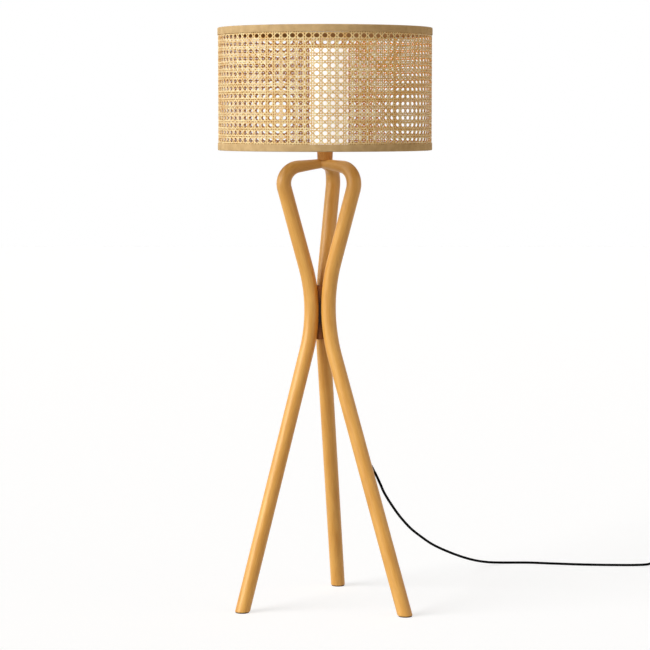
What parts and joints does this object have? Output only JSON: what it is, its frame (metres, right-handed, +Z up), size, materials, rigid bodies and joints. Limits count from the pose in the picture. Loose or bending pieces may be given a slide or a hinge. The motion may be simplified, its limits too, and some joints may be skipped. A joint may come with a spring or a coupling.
{
  "type": "floor lamp",
  "caption": "Tripod floor lamp of bent rattan poles pinched at the waist, with a drum shade of open cane webbing, an opal diffuser, and a black cord with foot switch and plug.",
  "frame": {"origin": "on the floor under the middle of the shade", "axes": "+Z up along the shade's axis, -Y towards the viewer of the picture, +X to the viewer's right"},
  "size_m": [1.2519, 0.7152, 1.307],
  "materials": {
    "rattan": "satin clear-coated rattan pole with faint grain and node rings",
    "dark_rattan": "stained satin",
    "cane": "natural split cane, semi-matte",
    "tape": "woven natural tape",
    "steel": "zinc plated",
    "brass": "nickel-free plated shell",
    "white_plastic": "smooth white moulding",
    "opal": "opal white",
    "bulb_glass": "opal white envelope",
    "cord_black": "matte black",
    "black_plastic": "satin black moulding",
    "felt": "felt glide"
  },
  "bodies": {
    "lamp": {"pole_left": "rattan", "pole_right": "rattan", "pole_back": "rattan", "foot_pad_left": "felt", "foot_pad_right": "felt", "foot_pad_back": "felt", "waist_dowel_left": "dark_rattan", "waist_dowel_right": "dark_rattan", "waist_dowel_back": "dark_rattan", "waist_core": "dark_rattan", "neck": "rattan", "neck_screw_left": "steel", "neck_screw_back": "steel", "neck_washer": "steel", "threaded_tube": "steel", "tube_nut": "steel", "cane_wall": "cane", "trim_bottom": "tape", "trim_top": "tape", "bottom_ring": "steel", "top_ring": "steel", "shade_carrier": "steel", "diffuser_tube": "opal", "lampholder_cap": "white_plastic", "lampholder_body": "white_plastic", "lampholder_insert": "white_plastic", "lampholder_shell": "brass", "centre_contact": "brass", "inner_lead": "cord_black", "exit_relief": "cord_black", "cord_floor": "cord_black", "cord_link": "cord_black", "cord_coil": "cord_black", "cord_tail": "cord_black", "coil_tie": "black_plastic", "switch_base": "black_plastic", "switch_cover": "black_plastic", "switch_spring": "steel", "switch_block": "black_plastic", "switch_screw_in": "steel", "switch_screw_out": "steel", "switch_relief_in": "cord_black", "switch_relief_out": "cord_black", "plug_body": "black_plastic", "plug_relief": "cord_black", "plug_pin_left": "steel", "plug_pin_right": "steel"},
    "bulb_lift": {"bulb_contact": "brass"},
    "bulb": {"bulb_glass": "bulb_glass", "bulb_cap": "brass", "bulb_insulator": "black_plastic"},
    "foot_button": {"switch_button": "black_plastic"}
  },
  "joints": [
    {"name": "bulb_rise", "type": "slide", "parent": "lamp", "child": "bulb_lift", "axis": [0, 0, 1], "range_m": [0, 0.0182]},
    {"name": "bulb_turn", "type": "hinge", "parent": "bulb_lift", "child": "bulb", "pos_m": [0, 0, 1.09], "axis": [0, 0, 1], "range_deg": [0, 1800]},
    {"name": "switch_press", "type": "slide", "parent": "lamp", "child": "foot_button", "axis": [0, 0, -1], "range_m": [0, 0.003], "stiffness_N_per_m": 2000, "springref_m": -0.001, "deforming": ["switch_spring"]}
  ],
  "couplings": [
    {"joint": "bulb_rise", "follows": "bulb_turn", "m_per_rad": 0.000576}
  ]
}
